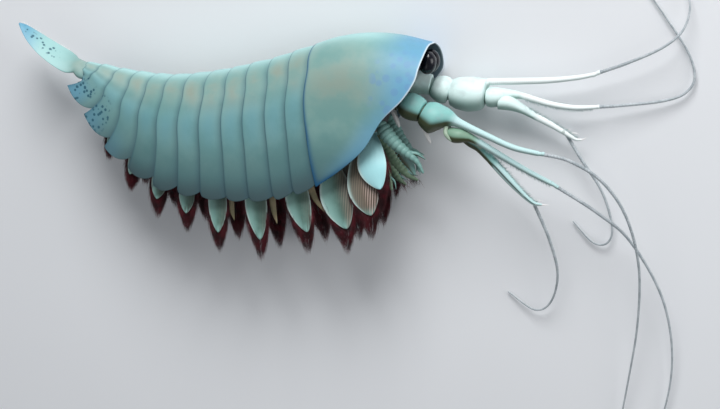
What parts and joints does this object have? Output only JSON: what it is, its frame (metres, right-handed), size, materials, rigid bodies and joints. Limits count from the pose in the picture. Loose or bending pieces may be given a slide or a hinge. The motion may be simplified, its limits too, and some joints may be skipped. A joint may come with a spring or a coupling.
{
  "type": "restored fossil arthropod",
  "caption": "Shrimp-like fossil arthropod restored whole, lying on its side, with banded back plates, long whip-bearing arms and swimming flaps.",
  "frame": {"origin": "middle of the whole object's box, at the floor that the left flank rests on", "axes": "+X towards the head, +Y towards the back, +Z from the left flank up to the right flank"},
  "size_m": [0.2512, 0.1826, 0.037],
  "materials": {
    "shell": "smooth satin cuticle, pale aqua",
    "flesh": "soft skin, matt",
    "eye": "wet black gloss",
    "limb": "smooth satin cuticle, mint white",
    "whip": "ringed, pale grey",
    "flap": "thin pale cuticle"
  },
  "bodies": {
    "root": {"arm_left_finger_1": "limb", "arm_left_finger_2": "limb", "arm_left_finger_3": "limb", "arm_left_flagellum_1": "whip", "arm_left_flagellum_2": "whip", "arm_left_flagellum_3": "whip", "arm_left_peduncle_1": "limb", "arm_left_peduncle_2": "limb", "arm_right_finger_1": "limb", "arm_right_finger_2": "limb", "arm_right_finger_3": "limb", "arm_right_flagellum_1": "whip", "arm_right_flagellum_2": "whip", "arm_right_flagellum_3": "whip", "arm_right_peduncle_1": "limb", "arm_right_peduncle_2": "limb", "eye_left": "eye", "eye_right": "eye", "flap_left_01": "flap", "flap_left_02": "flap", "flap_left_03": "flap", "flap_left_04": "flap", "flap_left_05": "flap", "flap_left_06": "flap", "flap_left_07": "flap", "flap_left_08": "flap", "flap_left_09": "flap", "flap_left_10": "flap", "flap_right_01": "flap", "flap_right_02": "flap", "flap_right_03": "flap", "flap_right_04": "flap", "flap_right_05": "flap", "flap_right_06": "flap", "flap_right_07": "flap", "flap_right_08": "flap", "flap_right_09": "flap", "flap_right_10": "flap", "head_shield": "shell", "leg_left_1": "limb", "leg_left_2": "limb", "leg_left_3": "limb", "leg_right_1": "limb", "leg_right_2": "limb", "leg_right_3": "limb", "telson": "shell", "tergite_01": "shell", "tergite_02": "shell", "tergite_03": "shell", "tergite_04": "shell", "tergite_05": "shell", "tergite_06": "shell", "tergite_07": "shell", "tergite_08": "shell", "tergite_09": "shell", "tergite_10": "shell", "tergite_11": "shell", "tergite_12": "shell", "trunk_core": "flesh"}
  },
  "joints": []
}
